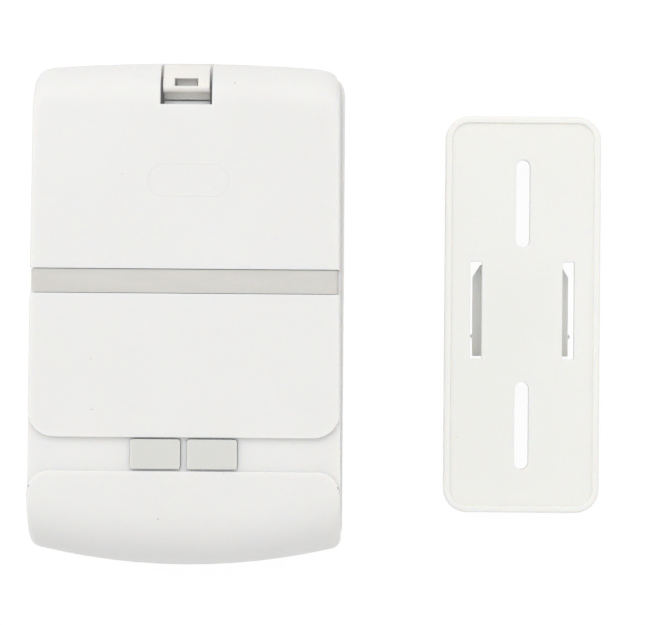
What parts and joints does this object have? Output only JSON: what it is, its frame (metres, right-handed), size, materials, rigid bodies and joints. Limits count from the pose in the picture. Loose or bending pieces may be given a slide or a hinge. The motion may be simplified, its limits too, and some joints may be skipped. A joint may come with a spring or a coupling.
{
  "type": "door contact sensor",
  "caption": "Flat wireless door contact sensor with a hinged battery cover, light bar and press buttons, beside its slotted wall bracket with slide-on rails.",
  "frame": {"origin": "bottom centre of the box round the unit and the bracket as they lie side by side", "axes": "+X from the unit to the bracket, +Y to the unit's latch end, +Z out of the unit's front"},
  "size_m": [0.1252, 0.1094, 0.024],
  "materials": {
    "white_abs": "satin moulded",
    "bracket_abs": "satin moulded",
    "grey_acrylic": "satin diffuser",
    "grey_abs": "satin moulded",
    "black_epoxy": "matt",
    "steel": "tinned or zinc plated",
    "board_green": "solder mask",
    "led_epoxy": "clear",
    "reed_glass": "clear",
    "copper": "bare wire",
    "cell": "plain printed film"
  },
  "bodies": {
    "housing": {"rear_housing": "white_abs", "front_housing": "white_abs", "light_bar": "grey_acrylic", "left_switch_body": "black_epoxy", "right_switch_body": "black_epoxy", "circuit_board": "board_green", "controller_chip": "black_epoxy", "radio_module": "steel", "crystal_can": "steel", "capacitor": "black_epoxy", "left_lamp": "led_epoxy", "right_lamp": "led_epoxy", "reed_switch": "reed_glass", "antenna_coil": "copper", "upper_cell": "cell", "lower_cell": "cell", "upper_contact_coil": "steel", "lower_contact_coil": "steel", "upper_coil_plate": "steel", "lower_coil_plate": "steel", "upper_nub_plate": "steel", "lower_nub_plate": "steel", "screw_lower_left": "steel", "screw_lower_right": "steel", "screw_upper_left": "steel", "screw_upper_right": "steel"},
    "cover": {"battery_cover": "white_abs"},
    "latch": {"cover_latch": "white_abs"},
    "left_button": {"left_button": "grey_abs"},
    "right_button": {"right_button": "grey_abs"},
    "left_plunger": {"left_switch_plunger": "steel"},
    "right_plunger": {"right_switch_plunger": "steel"},
    "bracket": {"mounting_bracket": "bracket_abs"}
  },
  "joints": [
    {"name": "cover_hinge", "type": "hinge", "parent": "housing", "child": "cover", "pos_m": [-0.0284, 0.01, 0.024], "axis": [1, 0, 0], "range_deg": [0, 70]},
    {"name": "latch_flex", "type": "hinge", "parent": "cover", "child": "latch", "pos_m": [-0.0284, 0.04645, 0.019], "axis": [1, 0, 0], "range_deg": [0, 8], "stiffness_Nm_per_rad": 0.3},
    {"name": "bracket_lift", "type": "slide", "parent": "housing", "child": "bracket", "axis": [0, 0, 1], "range_m": [0, 0.04]},
    {"name": "left_button_press", "type": "slide", "parent": "housing", "child": "left_button", "axis": [0, 0, -1], "range_m": [0, 0.0006], "stiffness_N_per_m": 600},
    {"name": "left_plunger_press", "type": "slide", "parent": "housing", "child": "left_plunger", "axis": [0, 0, -1], "range_m": [0, 0.0006]},
    {"name": "right_button_press", "type": "slide", "parent": "housing", "child": "right_button", "axis": [0, 0, -1], "range_m": [0, 0.0006], "stiffness_N_per_m": 600},
    {"name": "right_plunger_press", "type": "slide", "parent": "housing", "child": "right_plunger", "axis": [0, 0, -1], "range_m": [0, 0.0006]}
  ],
  "couplings": [
    {"joint": "left_plunger_press", "follows": "left_button_press", "ratio": 1},
    {"joint": "right_plunger_press", "follows": "right_button_press", "ratio": 1}
  ]
}
